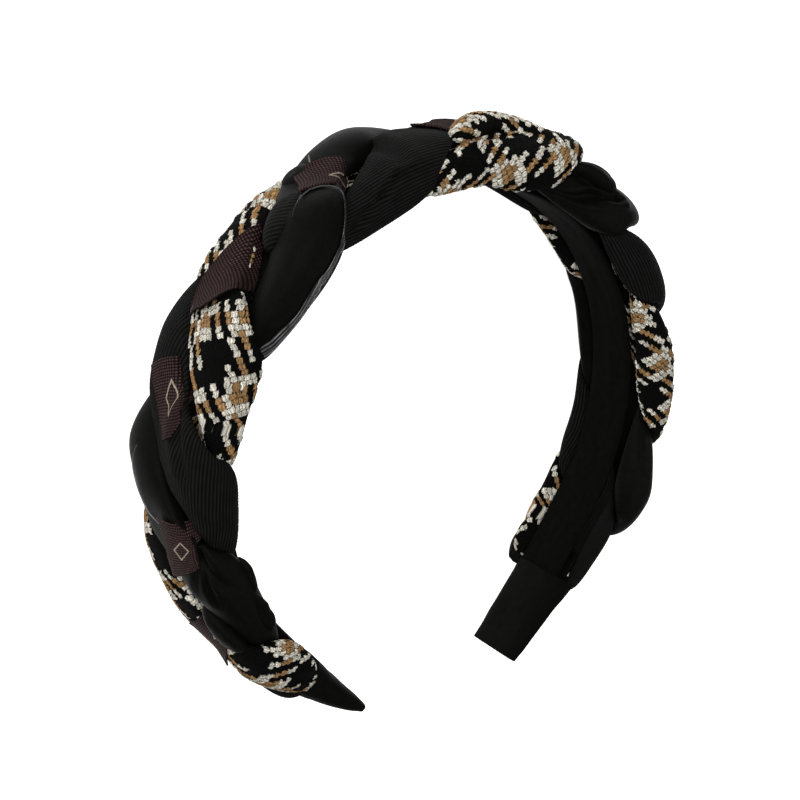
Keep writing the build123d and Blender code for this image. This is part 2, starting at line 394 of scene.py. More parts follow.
def crease_height(strand, s, angle):
    """Height of the creases pressed in, each with a low lip on both sides and fainter at its last end."""
    height = np.zeros(np.broadcast(s, angle).shape)
    for name, s0, angle0, s1, angle1, depth, width in creases + ribbon_grooves():
        if name != strand:
            continue
        middle = (angle0 + angle1) / 2
        y = ((angle - middle + 180) % 360 - 180 + middle) * top_arc_per_degree
        y0, y1 = angle0 * top_arc_per_degree, angle1 * top_arc_per_degree
        share = ((s - s0) * (s1 - s0) + (y - y0) * (y1 - y0)) / ((s1 - s0) ** 2 + (y1 - y0) ** 2)
        held = np.clip(share, 0, 1)
        away = np.hypot(s - s0 - held * (s1 - s0), y - y0 - held * (y1 - y0))
        fade = 1 - crease_fade * held ** 2 if width < groove_half_width else 1.0
        height -= depth * fade * np.exp(-(away / width) ** 2)
        height += lip_share * depth * fade * np.exp(-((away - lip_place * width) / width) ** 2)
    return height


# Meshes

tiny = 1e-12


def grid_object(name, points, uv, material, closed=False, caps=False):
    """A mesh through a grid of points, with its cloth coordinates in millimetres as its UV map."""
    rows, columns = points.shape[:2]
    vertices = points.reshape(-1, 3)
    index = np.arange(rows * columns).reshape(rows, columns)
    last = columns if closed else columns - 1
    following = (np.arange(last) + 1) % columns
    here, above = index[:-1], index[1:]
    quads = np.stack([here[:, :last], here[:, following], above[:, following], above[:, :last]], axis=-1)
    faces = quads.reshape(-1, 4)[:, ::-1].tolist()
    uv = uv.reshape(-1, 2)
    if caps:
        ends = [vertices[index[0]].mean(axis=0), vertices[index[-1]].mean(axis=0)]
        first, second = len(vertices), len(vertices) + 1
        vertices = np.vstack([vertices, ends])
        uv = np.vstack([uv, uv[index[0]].mean(axis=0), uv[index[-1]].mean(axis=0)])
        faces += [[first, index[0, k], index[0, (k + 1) % columns]] for k in range(columns)]
        faces += [[second, index[-1, (k + 1) % columns], index[-1, k]] for k in range(columns)]
    mesh = bpy.data.meshes.new(name)
    mesh.from_pydata(vertices.tolist(), [], faces)
    layer = mesh.uv_layers.new(name="cloth")
    loops = np.empty(len(mesh.loops), dtype=int)
    mesh.loops.foreach_get("vertex_index", loops)
    layer.data.foreach_set("uv", uv[loops].astype(np.float32).ravel())
    mesh.polygons.foreach_set("use_smooth", np.ones(len(mesh.polygons), dtype=bool))
    mesh.materials.append(material)
    mesh.update()
    piece = bpy.data.objects.new(name, mesh)
    bpy.context.collection.objects.link(piece)
    return piece


def outward_normals(points, middle):
    """Unit normals of a grid of points, turned away from the given middle points."""
    along = np.gradient(points, axis=0)
    around = np.gradient(points, axis=1)
    normal = np.cross(along, around)
    normal /= np.linalg.norm(normal, axis=-1, keepdims=True) + tiny
    facing = np.sum(normal * (points - middle), axis=-1).mean()
    return normal if facing > 0 else -normal


def stand_for(piece, node):
    """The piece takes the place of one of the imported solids."""
    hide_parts(node)
    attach(piece, "root")


# Materials, with colours as linear red, green and blue

cream = (0.93, 0.88, 0.75)
tan = (0.46, 0.27, 0.12)
ground = (0.003, 0.003, 0.0028)
thread_colours = {"cream": cream, "tan": tan, "ground": ground}
black = (0.0025, 0.0025, 0.0023)
ribbed_dark = (0.0015, 0.0015, 0.0014)
# The lighter ribbed colour below is a painted highlight on the rib crests.
ribbed_painted_highlight = (0.011, 0.011, 0.0105)
ribbon_brown = (0.03, 0.017, 0.016)
ribbon_dark = (0.005, 0.0028, 0.0028)
ribbon_light = (0.115, 0.068, 0.064)
lozenge_thread = (0.40, 0.34, 0.25)
gauze = (0.05, 0.05, 0.05)
rim_dark = (0.008, 0.008, 0.008)
# The light rim colour below is painted sheen on the selvage's lines.
rim_painted_sheen = (0.25, 0.25, 0.26)
white = (1.0, 1.0, 1.0)
floor_grey = (0.9, 0.9, 0.9)

# Detail of the noise in a material.
coarse = 2.0
fine = 3.0


def new_material(name, colour, roughness, specular=0.5):
    material = bpy.data.materials.new(name)
    material.use_nodes = True
    shader = material.node_tree.nodes["Principled BSDF"]
    shader.inputs["Base Color"].default_value = (*colour, 1.0)
    shader.inputs["Roughness"].default_value = roughness
    shader.inputs["Specular IOR Level"].default_value = specular
    return material, shader


class Nodes:
    """A new material and helpers that join its nodes. u and v are its cloth coordinates in millimetres."""

    def __init__(self, name, colour, roughness, specular=0.5):
        self.material, self.shader = new_material(name, colour, roughness, specular)
        self.tree = self.material.node_tree
        self.cloth = self.tree.nodes.new("ShaderNodeUVMap")
        self.cloth.uv_map = "cloth"
        parts = self.tree.nodes.new("ShaderNodeSeparateXYZ")
        self.join(self.cloth.outputs["UV"], parts.inputs[0])
        self.u = parts.outputs[0]
        self.v = parts.outputs[1]

    def join(self, source, target):
        self.tree.links.new(source, target)

    def math(self, operation, *values):
        node = self.tree.nodes.new("ShaderNodeMath")
        node.operation = operation
        for value, socket in zip(values, node.inputs):
            if isinstance(value, (int, float)):
                socket.default_value = value
            else:
                self.join(value, socket)
        return node.outputs[0]

    def times(self, first, second):
        return self.math("MULTIPLY", first, second)

    def plus(self, first, second):
        return self.math("ADD", first, second)

    def toned(self, value, factor, added):
        return self.math("MULTIPLY_ADD", value, factor, added)

    def wave(self, place_on, pitch):
        """0 to 1 and back over each pitch."""
        turned = self.math("SINE", self.times(place_on, 2 * pi / pitch))
        return self.toned(turned, 0.5, 0.5)

    def ramp(self, value, low, high):
        """0 at low and 1 at high, held outside them."""
        node = self.tree.nodes.new("ShaderNodeMapRange")
        self.join(value, node.inputs["Value"])
        node.inputs["From Min"].default_value = low
        node.inputs["From Max"].default_value = high
        return node.outputs["Result"]

    def noise(self, scale, detail):
        node = self.tree.nodes.new("ShaderNodeTexNoise")
        node.inputs["Scale"].default_value = scale
        node.inputs["Detail"].default_value = detail
        self.join(self.cloth.outputs["UV"], node.inputs["Vector"])
        return node.outputs["Fac"]

    def cell_value(self, row, column):
        """A fixed random value from 0 to 1 for each whole row and column."""
        both = self.tree.nodes.new("ShaderNodeCombineXYZ")
        self.join(row, both.inputs[0])
        self.join(column, both.inputs[1])
        node = self.tree.nodes.new("ShaderNodeTexWhiteNoise")
        node.noise_dimensions = "2D"
        self.join(both.outputs[0], node.inputs["Vector"])
        return node.outputs["Value"]

    def bands(self, place_on, bands):
        """Colour of repeating bands at a place counted in band units, and 1 where it isn't ground."""
        whole = sum(width for name, width in bands)
        node = self.tree.nodes.new("ShaderNodeValToRGB")
        node.color_ramp.interpolation = "CONSTANT"
        start = 0.0
        for k, (name, width) in enumerate(bands):
            stop = node.color_ramp.elements[k] if k < 2 else node.color_ramp.elements.new(start / whole)
            stop.position = start / whole
            stop.color = (*thread_colours[name], 0.0 if name == "ground" else 1.0)
            start += width
        self.join(self.math("FRACT", self.math("DIVIDE", place_on, whole)), node.inputs["Fac"])
        return node.outputs["Color"], node.outputs["Alpha"]

    def blend(self, share, first, second, way="MIX"):
        node = self.tree.nodes.new("ShaderNodeMix")
        node.data_type = "RGBA"
        node.blend_type = way
        sockets = {socket.identifier: socket for socket in node.inputs}
        for value, name in ((share, "Factor_Float"), (first, "A_Color"), (second, "B_Color")):
            if isinstance(value, tuple):
                sockets[name].default_value = (*value, 1.0)
            elif isinstance(value, float):
                sockets[name].default_value = value
            else:
                self.join(value, sockets[name])
        return next(socket for socket in node.outputs if socket.identifier == "Result_Color")

    def paint(self, colour):
        self.join(colour, self.shader.inputs["Base Color"])

    def bump(self, height, strength, distance):
        node = self.tree.nodes.new("ShaderNodeBump")
        node.inputs["Strength"].default_value = strength
        node.inputs["Distance"].default_value = distance
        self.join(height, node.inputs["Height"])
        self.join(node.outputs["Normal"], self.shader.inputs["Normal"])


# The tweed's threads. A drift moves stitches by up to half its size. An edge is 0 at its first value and 1 at
# its second. A tone is a factor and what is added.
drift = 1.1
row_drift_scale = 0.8
column_drift_scale = 0.65
stitch_slant = 0.3
stitch_side_edge = (0.58, 0.34)
stitch_end_edge = (0.62, 0.38)
fibre_scale = 2.6
ply_slant = 0.35
ply_waver = 0.5
fray = 1.6
frayed_edge = (1.1, 1.3)
# The ply tone is painted highlight and shade across each stitch's plies, the fibre tone is fibre mottling
# with painted highlight and shade, and the stitch tone differs at random.
stitch_tone = (0.3, 0.75)
fibre_mottle_and_painted_light = (1.3, 0.3)
ply_painted_light = (0.55, 0.55)
shown_bump = (0.7, 0.3)
fibre_bump = 0.5
ply_bump = 0.3


def tweed_material():
    """Slanted rows of chunky stitches: every other stitch shows its row's colour, the rest their column's."""
    nodes = Nodes("tweed", cream, roughness=0.9, specular=0.03)
    row_drift = nodes.toned(nodes.noise(row_drift_scale, coarse), drift, -drift / 2)
    column_drift = nodes.toned(nodes.noise(column_drift_scale, coarse), drift, -drift / 2)
    y = nodes.math("DIVIDE", nodes.plus(nodes.u, row_drift), tweed_row)
    row = nodes.math("FLOOR", y)
    high = nodes.math("SUBTRACT", nodes.math("FRACT", y), 0.5)
    leaned = nodes.times(row, tweed_lean)
    x = nodes.math("DIVIDE", nodes.plus(nodes.v, column_drift), tweed_column)
    x = nodes.math("SUBTRACT", x, leaned)
    column = nodes.math("FLOOR", x)
    wide = nodes.math("SUBTRACT", nodes.math("FRACT", x), 0.5)
    odd = nodes.math("GREATER_THAN", nodes.math("FRACT", nodes.times(column, 0.5)), 0.25)
    row_middle = nodes.plus(row, 0.5)
    column_middle = nodes.plus(nodes.plus(column, 0.5), leaned)
    row_colour, row_shows = nodes.bands(row_middle, tweed_rows)
    column_colour, column_shows = nodes.bands(column_middle, tweed_columns)
    thread = nodes.blend(odd, row_colour, column_colour)
    even = nodes.math("SUBTRACT", 1.0, odd)
    shows = nodes.plus(nodes.times(odd, column_shows), nodes.times(even, row_shows))
    slanted = nodes.plus(wide, nodes.times(high, stitch_slant))
    across = nodes.ramp(nodes.math("ABSOLUTE", slanted), *stitch_side_edge)
    along = nodes.ramp(nodes.math("ABSOLUTE", high), *stitch_end_edge)
    stitch = nodes.times(across, along)
    fibre = nodes.noise(fibre_scale, fine)
    ply_place = nodes.plus(x, nodes.times(y, ply_slant))
    ply = nodes.wave(nodes.plus(ply_place, nodes.times(fibre, ply_waver)), ply_share)
    frayed = nodes.ramp(nodes.plus(stitch, nodes.times(fibre, fray)), *frayed_edge)
    shown = nodes.times(frayed, shows)
    # Painted light: over a tone that differs at random from stitch to stitch, the fibre noise and the ply
    # waves paint highlights and shade on the yarn.
    stitch_tone_and_painted_light = nodes.toned(nodes.cell_value(row, column), *stitch_tone)
    stitch_tone_and_painted_light = nodes.times(stitch_tone_and_painted_light, nodes.toned(fibre, *fibre_mottle_and_painted_light))
    stitch_tone_and_painted_light = nodes.times(stitch_tone_and_painted_light, nodes.toned(ply, *ply_painted_light))
    grey = nodes.tree.nodes.new("ShaderNodeCombineColor")
    for socket in grey.inputs:
        nodes.join(stitch_tone_and_painted_light, socket)
    painted_light_thread = nodes.blend(1.0, thread, grey.outputs[0], "MULTIPLY")
    nodes.paint(nodes.blend(shown, ground, painted_light_thread))
    relief = nodes.times(stitch, nodes.toned(shows, *shown_bump))
    relief = nodes.plus(relief, nodes.times(fibre, fibre_bump))
    relief = nodes.plus(relief, nodes.times(ply, ply_bump))
    nodes.bump(relief, strength=1.0, distance=0.0007)
    return nodes.material


cross_pitch_share = 0.8
slub_scale = 0.9
tone_scale = 0.5
dark_tone = 0.6
light_tone = 1.6


def plain_material(name, roughness, thread_pitch, bump, specular):
    """Fine black plain weave with a little slub."""
    nodes = Nodes(name, black, roughness, specular)
    cross_threads = nodes.wave(nodes.v, cross_pitch_share * thread_pitch)
    weave = nodes.times(nodes.wave(nodes.u, thread_pitch), cross_threads)
    grain = nodes.plus(weave, nodes.noise(slub_scale, fine))
    nodes.bump(grain, strength=bump, distance=0.0002)
    darker, lighter = tuple(dark_tone * c for c in black), tuple(light_tone * c for c in black)
    nodes.paint(nodes.blend(nodes.noise(tone_scale, fine), darker, lighter))
    return nodes.material


twill_pitch = 0.45
twill_share = 0.15
rib_highlight_patch_scale = 0.4
rib_least_highlight = 0.3


def ribbed_material():
    """Black cloth with fine ribs and a twill between them, and a painted highlight along the rib crests."""
    nodes = Nodes("ribbed", ground, roughness=0.75, specular=0.035)
    rib = nodes.wave(nodes.v, rib_pitch)
    twill = nodes.wave(nodes.plus(nodes.u, nodes.v), twill_pitch)
    height = nodes.plus(rib, nodes.times(twill, twill_share))
    nodes.bump(height, strength=0.6, distance=0.0003)
    # Painted highlight: the rib crests are coloured lighter, in patches, as if light catches them.
    rib_highlight = nodes.times(rib, nodes.plus(nodes.noise(rib_highlight_patch_scale, coarse), rib_least_highlight))
    nodes.paint(nodes.blend(rib_highlight, ribbed_dark, ribbed_painted_highlight))
    return nodes.material


ribbon_pitch = 0.6
speck_scale = 1.1
speck_tone = (1.2, 0.2)
motif_spacing = 24.0
motif_half_length = 3.4
motif_half_width = 2.1
motif_line_edge = (0.15, 0.06)
motif_thread_scale = 2.5
motif_tone = (0.9, 0.35)


def ribbon_material():
    """Dark brown grosgrain with open cream lozenges spaced along it."""
    nodes = Nodes("ribbon", ribbon_brown, roughness=0.75, specular=0.04)
    rows = nodes.wave(nodes.u, ribbon_pitch)
    dots = nodes.times(rows, nodes.wave(nodes.v, ribbon_pitch))
    speck = nodes.toned(nodes.noise(speck_scale, coarse), *speck_tone)
    cloth = nodes.blend(nodes.times(dots, speck), ribbon_dark, ribbon_light)
    place_on = nodes.math("FRACT", nodes.plus(nodes.math("DIVIDE", nodes.u, motif_spacing), 0.5))
    length = nodes.times(nodes.math("SUBTRACT", place_on, 0.5), motif_spacing / motif_half_length)
    width = nodes.math("DIVIDE", nodes.v, motif_half_width)
    reach = nodes.plus(nodes.math("ABSOLUTE", length), nodes.math("ABSOLUTE", width))
    line = nodes.ramp(nodes.math("ABSOLUTE", nodes.math("SUBTRACT", reach, 1.0)), *motif_line_edge)
    thread = nodes.toned(nodes.noise(motif_thread_scale, coarse), *motif_tone)
    line = nodes.times(line, thread)
    nodes.paint(nodes.blend(line, cloth, lozenge_thread))
    nodes.bump(nodes.plus(dots, line), strength=0.8, distance=0.0003)
    return nodes.material


rim_pitch = 0.55
rim_line_sharpness = 4.0
rim_patch_scale = 0.25
rim_patch_edge = (0.3, 0.7)
rim_cover = 0.85


def rim_material():
    """Sheer selvage: grey gauze with a few lines along it, painted light grey in patches as their sheen."""
    nodes = Nodes("sheer_rim", gauze, roughness=0.35)
    lines = nodes.math("POWER", nodes.wave(nodes.v, rim_pitch), rim_line_sharpness)
    lines = nodes.times(lines, nodes.ramp(nodes.noise(rim_patch_scale, coarse), *rim_patch_edge))
    # Painted sheen: the selvage's lines are coloured light grey where the patches show.
    nodes.paint(nodes.blend(lines, rim_dark, rim_painted_sheen))
    nodes.bump(lines, strength=0.5, distance=0.0002)
    nodes.shader.inputs["Alpha"].default_value = rim_cover
    return nodes.material


tweed = tweed_material()
satin = plain_material("satin", roughness=0.5, thread_pitch=0.35, bump=0.25, specular=0.03)
ribbed = ribbed_material()
ribbon = ribbon_material()
lining = plain_material("lining", roughness=0.75, thread_pitch=0.3, bump=0.2, specular=0.01)
wrap = plain_material("wrap", roughness=0.65, thread_pitch=0.35, bump=0.3, specular=0.02)
rim = rim_material()
cloths = {"tweed": tweed, "satin": satin, "ribbed": ribbed, "tip_wrap_right": wrap}


# Strands

stations = {"tweed": 780, "satin": 520, "ribbed": 420}
outer_samples = {"tweed": 104, "satin": 120, "ribbed": 190}
inner_samples = 16
girth_samples = 721
outer_reach = 0.35
seam_turn = 1.5 * pi
least_step = 0.001

# The angle of each cloth's weave to the hoop line.
weave_turns = {"tweed": 22.0, "satin": 22.0, "ribbed": 0.0}

# Creases fade in with the lift off the core, and waves fade out with it. Depths and lengths in millimetres.
crease_onset = 2.5
wave_reach = 1.2
wave_depth = 0.5
wave_along = 11
wave_across = 9
weave_wander = 0.9
wander_length = 6


def strand_grid(strand):
    """Grid of a strand's skin: s along the hoop by turn round the strand, finer on the outer side."""
    s = np.linspace(twist_start, twist_end, stations[strand])[:, None]
    outer = np.linspace(-outer_reach, pi + outer_reach, outer_samples[strand])
    inner = np.linspace(pi + outer_reach, 2 * pi - outer_reach, inner_samples + 2)[1:-1]
    before = inner[inner > seam_turn] - 2 * pi
    after = inner[inner <= seam_turn]
    seam = np.array([seam_turn])
    turn = np.concatenate([seam - 2 * pi, before, outer, after, seam])[None, :]
    return s, turn


def flat_girth(angle):
    """Millimetres round the twist's section from angle 0 to the given angles."""
    round_once = np.linspace(0, 360, girth_samples)
    middle = np.zeros(girth_samples)
    across, out = section_place(middle, round_once, np.ones(girth_samples), proud=0.0)
    steps = np.hypot(np.diff(across), np.diff(out))
    girth = np.concatenate([[0.0], np.cumsum(steps)])
    return np.interp(angle % 360, round_once, girth) + np.floor(angle / 360) * girth[-1]


def cloth_coordinates(points, angle, crest, weave_turn):
    """Millimetres along and across a weave that crosses the whole twist at one angle from the hoop line."""
    girth = flat_girth(angle)
    crest_girth = girth[:, crest]
    crest_run = np.linalg.norm(np.diff(points[:, crest], axis=0), axis=-1) / mm
    hoop_steps = np.sqrt(np.maximum(crest_run ** 2 - np.diff(crest_girth) ** 2, 0))
    run = np.concatenate([[0.0], np.cumsum(hoop_steps)])[:, None]
    wind = np.arctan(np.median(np.diff(crest_girth) / np.maximum(hoop_steps, least_step)))
    steps = np.linalg.norm(np.diff(points, axis=1), axis=-1) / mm
    flat_steps = np.diff(girth, axis=1)
    rise = np.maximum(steps ** 2 - flat_steps ** 2, 0)
    over = np.hypot(flat_steps * cos(wind), np.sqrt(rise)) - np.abs(flat_steps) * cos(wind)
    over = np.concatenate([np.zeros((len(points), 1)), np.cumsum(over, axis=1)], axis=1)
    over = over[:, crest:crest + 1] - over
    run = run - over * sin(wind)
    girth = girth + over * cos(wind)
    turn = radians(weave_turn)
    return run * cos(turn) + girth * sin(turn), run * sin(turn) - girth * cos(turn)


def make_strand(strand):
    s, turn = strand_grid(strand)
    points, angle, lift = strand_surface(strand, s, turn)
    normal = outward_normals(points, points.mean(axis=1, keepdims=True))
    crest = np.argmin(np.abs(turn[0] - pi / 2))
    u, v = cloth_coordinates(points, angle, crest, weave_turns[strand])
    height = crease_height(strand, s, angle) * np.clip(crease_onset * lift, 0, 1)
    waves = ripple(wave_depth, u / wave_along, v / wave_across, start=(3, 5))
    height = height + waves * np.clip(wave_reach - np.abs(lift), 0, 1)
    if strand == "tweed":
        u = u + tweed_start + ripple(weave_wander, u / wander_length, v / wander_length, start=(9, 2))
        v = v + tweed_side_start + ripple(weave_wander, u / wander_length, v / wander_length, start=(31, 17))
        height = height + tweed_relief(u, v)
    if strand == "ribbed":
        height = height + rib_relief(v)
    points = points + normal * height[..., None] * mm
    piece = grid_object("cloth_" + strand, points, np.stack([u, v], axis=-1), cloths[strand], caps=True)
    stand_for(piece, "strand_" + strand)


# Ribbon

ribbon_rows = 90
ribbon_columns = 70
edge_curl = 0.25
edge_curl_sharpness = 6
ribbon_ripple = 0.12
ripples_along = 3
ripples_across = 2


def on_strand(strand, s, section_angle, above, tuck, swell=1.0):
    """Points over a strand's outer face; past the tuck share of its width they dive into the crevice."""
    phase = twist_phase(s) - lobe_turn * strand_names.index(strand)
    flat = unlaid(section_angle)
    flat = flat + 360 * np.round((phase - flat) / 360)
    side = (flat - phase) / (lobe_turn / 2)
    reach = 1 - strand_gap - waist_width * waist_share(phase)
    if strand == "satin":
        reach = reach * (1 - satin_trim * trim_share(phase) * (side > 0))
    held = np.clip(side, -tuck * reach, tuck * reach)
    lift = (1 - (np.abs(held) / reach) ** strand_roundness) ** (1 / strand_roundness)
    radial = (1 + lift) / 2 * (1 - waist_depth * waist_share(phase)) * swell
    angle = laid(flat - (side - held) * lobe_turn / 2)
    across, out = section_place(s, angle, radial, strand_proud(strand, phase) * lift)
    excess = (np.abs(side) - np.abs(held)) * lobe_turn / 2 * top_arc_per_degree
    return place(s, across, out + above + crease_height(strand, s, angle) - np.minimum(excess, ribbon_dive))


def ribbon_surface(lobe, along, wide, above):
    """Points of a ribbon turn: along and wide run from -1 to 1, above is the height over its seat."""
    half_width, half_length, slant, lobe_phase, section_angle, first_share, last_share = ribbon_turns[lobe]
    strand = lobes[lobe][0]
    middle = phase_length(lobe_turn * lobe + lobe_phase)
    length = along * half_length
    width = wide * half_width * (first_share + (last_share - first_share) * (along + 1) / 2)
    s = middle + length * cos(radians(slant)) + width * sin(radians(slant))
    shift = -length * sin(radians(slant)) + width * cos(radians(slant))
    angle = section_angle + shift / top_arc_per_degree
    tuck, swell = wide_ribbon_tucks.get(lobe, (ribbon_tuck, 1.0))
    return on_strand(strand, s, angle, ribbon_seat + above, tuck, swell)


def make_ribbon(lobe):
    half_width, half_length = ribbon_turns[lobe][:2]
    name = "ribbon_turn_%02d" % (lobe + 1)
    along = np.linspace(-1, 1, ribbon_rows)[:, None]
    wide = np.linspace(-1, 1, ribbon_columns)[None, :]
    curl = edge_curl * np.abs(wide) ** edge_curl_sharpness
    curl = curl + ripple(ribbon_ripple, ripples_along * along, ripples_across * wide, start=(lobe, 5))
    points = ribbon_surface(lobe, along, wide, curl)
    bare_shift = motif_spacing / 2 if lobe in bare_turns else 0.0
    uv = np.stack(np.broadcast_arrays(along * half_length + bare_shift, wide * half_width), axis=-1)
    piece = grid_object("cloth_" + name, points, uv, ribbon)
    thick = piece.modifiers.new("thickness", "SOLIDIFY")
    thick.thickness = ribbon_thickness * mm
    thick.offset = 0.0
    stand_for(piece, name)


# Folds, flaps and sheer rims that stand on the strands

def smooth_rows(rows, count):
    """Rows of numbers drawn through by a smooth curve, at evenly spaced steps of the row number."""
    rows = np.array(rows, dtype=float)
    padded = np.vstack([2 * rows[0] - rows[1], rows, 2 * rows[-1] - rows[-2]])
    t = np.linspace(0, len(rows) - 1, count)
    k = np.minimum(t.astype(int), len(rows) - 2)
    f = (t - k)[:, None]
    p0, p1, p2, p3 = padded[k], padded[k + 1], padded[k + 2], padded[k + 3]
    return 0.5 * (2 * p1 + (p2 - p0) * f + (2 * p0 - 5 * p1 + 4 * p2 - p3) * f ** 2
                  + (3 * p1 - p0 - 3 * p2 + p3) * f ** 3)


def finish_fold(piece, owner):
    """A fold has the slot of the cloth that it belongs to, and is its child."""
    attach(piece, "root")
    piece.parent = bpy.data.objects["cloth_" + owner]


roll_rows = 160
roll_columns = 60
roll_row_share = 0.75
roll_first_row = 0.8
roll_first_column = 9.6
roll_end_squareness = 10
roll_plain_radius = 0.4
outward_step = 0.1


def make_tweed_roll(rows):
    """A soft roll of tweed along a line. Rows: hoop length, section angle, radial place and radius."""
    s, angle, radial, radius = smooth_rows(rows, roll_rows).T[:, :, None]
    turn = np.linspace(-pi, pi, roll_columns, endpoint=False)[None, :]
    centre = place(s, *section_place(s, angle, radial, 0.0))
    above = place(s, *section_place(s, angle, radial + outward_step, 0.0))
    tangent = np.gradient(centre, axis=0)
    tangent /= np.linalg.norm(tangent, axis=-1, keepdims=True)
    side = np.cross(tangent, above - centre)
    side /= np.linalg.norm(side, axis=-1, keepdims=True)
    rise = np.cross(side, tangent)
    end = np.linspace(-1, 1, len(s))[:, None]
    shrunk = radius * (1 - np.abs(end) ** roll_end_squareness) ** 0.5 * mm
    v = turn * radius + roll_first_column
    steps = np.linalg.norm(np.diff(centre[:, 0], axis=0), axis=-1)
    run = np.concatenate([[0.0], np.cumsum(steps)])[:, None] / mm
    u, v = np.broadcast_arrays(run * roll_row_share + roll_first_row, v)
    shrunk = shrunk + tweed_relief(u, v) * mm * (shrunk > roll_plain_radius * mm)
    points = centre + shrunk[..., None] * (np.cos(turn)[..., None] * side + np.sin(turn)[..., None] * rise)
    piece = grid_object("tweed_roll", points, np.stack([u, v], axis=-1), tweed, closed=True, caps=True)
    finish_fold(piece, "tweed")


mound_rows = 26
mound_columns = 64
mound_first_row = 0.02
mound_foot_power = 2.6
mound_top_power = 0.6
crumple_depth = 0.05
crumple_length = 2.2
crumple_edge_fade = 4
fold_weave_turn = -60.0


def make_mound(name, owner, s, angle, length, width, low, high, proud, slant):
    """A soft mound of cloth: half length and half width in millimetres, low and high as radial places."""
    radius = np.linspace(mound_first_row, 1, mound_rows)[:, None]
    turn = np.linspace(0, 2 * pi, mound_columns, endpoint=False)[None, :]
    along, across = radius * np.cos(turn) * length, radius * np.sin(turn) * width
    lean = radians(slant)
    run = along * cos(lean) + across * sin(lean)
    shift = across * cos(lean) - along * sin(lean)
    radial = low + (high - low) * (1 - radius ** mound_foot_power) ** mound_top_power
    crumple = ripple(crumple_depth, run / crumple_length, shift / crumple_length, start=(3 * length, 5))
    radial = radial + crumple * (1 - radius ** crumple_edge_fade)
    points = place(s + run, *section_place(s + run, angle + shift / top_arc_per_degree, radial, proud))
    turned = radians(fold_weave_turn)
    uv = np.stack([run * cos(turned) + shift * sin(turned), run * sin(turned) - shift * cos(turned)], axis=-1)
    piece = grid_object(name, points, uv, cloths[owner], closed=True, caps=True)
    finish_fold(piece, owner)


rim_rows = 160
rim_columns = 13
edge_rim_rows = 200
edge_rim_columns = 17
rim_tuck = 0.97
rim_clearance = 0.4
rim_crown = 0.25


def rim_height(wide):
    return rim_clearance + rim_crown * (1 - wide ** 2)


def make_rim(name, strand, rows):
    """A narrow sheer rim laid on a strand's face. Rows: hoop length, section angle and half width."""
    s, angle, half_width = smooth_rows(rows, rim_rows).T[:, :, None]
    wide = np.linspace(-1, 1, rim_columns)[None, :]
    direction_s, direction_y = np.gradient(s[:, 0]), np.gradient(angle[:, 0]) * top_arc_per_degree
    length = np.hypot(direction_s, direction_y)[:, None]
    shift_s = -direction_y[:, None] / length * wide * half_width
    shift_y = direction_s[:, None] / length * wide * half_width
    shifted_angle = angle + shift_y / top_arc_per_degree
    points = on_strand(strand, s + shift_s, shifted_angle, rim_height(wide), rim_tuck)
    u = np.concatenate([[0.0], np.cumsum(length[1:, 0])])[:, None]
    uv = np.stack(np.broadcast_arrays(u, wide * half_width), axis=-1)
    piece = grid_object(name, points, uv, rim)
    finish_fold(piece, strand)


def make_edge_rim(name, strand, rows):
    """A sheer rim along a strand's own skin. Rows: hoop length, degrees round the strand and half width."""
    s, turn, half_width = smooth_rows(rows, edge_rim_rows).T[:, :, None]
    wide = np.linspace(-1, 1, edge_rim_columns)[None, :]
    next_turn = strand_surface(strand, s, np.radians(turn + 1))[0]
    per_degree = np.linalg.norm(next_turn - strand_surface(strand, s, np.radians(turn))[0], axis=-1) / mm
    along, around = np.gradient(s, axis=0), np.gradient(turn, axis=0) * per_degree
    length = np.hypot(along, around)
    shifted_s = s - around / length * wide * half_width
    shifted_turn = turn + along / length * wide * half_width / per_degree
    points, angle = strand_surface(strand, shifted_s, np.radians(shifted_turn))[:2]
    normal = outward_normals(points, place(s, band_shift, band_top))
    above = rim_height(wide) + crease_height(strand, shifted_s, angle)
    points = points + normal * above[..., None] * mm
    uv = np.stack(np.broadcast_arrays(np.cumsum(length, axis=0), wide * half_width), axis=-1)
    piece = grid_object(name, points, uv, rim)
    finish_fold(piece, strand)


# Rows: hoop length, section angle, radial place and radius.
tweed_roll = [
    (1.0, 58.0, 0.70, 1.2), (4.5, 68.0, 0.79, 2.4), (9.0, 78.0, 0.83, 3.0), (15.0, 86.0, 0.85, 3.1),
    (21.5, 87.0, 0.87, 3.0), (26.5, 75.0, 0.87, 2.8), (28.5, 54.0, 0.84, 2.6), (28.5, 30.0, 0.74, 2.2),
    (27.0, 5.0, 0.56, 1.8),
]
# Rows: name, owner, hoop length, section angle, half length, half width, radial place at the foot and at the
# top, how far proud of the twist, and slant.
mounds = [
    ("ribbed_return", "ribbed", -39.5, 72.0, 8.0, 5.4, 0.55, 1.03, 2.0, -39.0),
    ("satin_far_fold", "satin", -29.0, 102.0, 4.2, 3.8, 0.75, 1.05, 0.0, 0.0),
    ("satin_flap", "satin", -120.5, -27.0, 6.2, 4.2, 0.70, 1.16, 0.0, 15.0),
    ("satin_low_fold", "satin", -132.0, 46.0, 10.0, 4.8, 0.60, 1.08, 0.0, -55.0),
    ("satin_low_bulge", "satin", -131.0, -28.0, 8.0, 5.0, 0.50, 1.12, 1.2, 0.0),
    ("satin_ear", "satin", 49.5, 30.0, 3.0, 2.6, 0.75, 1.05, 0.0, 0.0),
    ("satin_top_fold", "satin", 42.0, 38.0, 9.5, 8.0, 0.30, 1.20, 0.0, 0.0),
    ("tweed_end_fold", "tweed", 158.0, -121.0, 6.5, 3.6, 0.60, 1.04, 0.0, 0.0),
    ("wrap_fold", "tip_wrap_right", 161.0, -60.0, 7.5, 5.6, 0.60, 1.28, 0.0, 0.0),
]
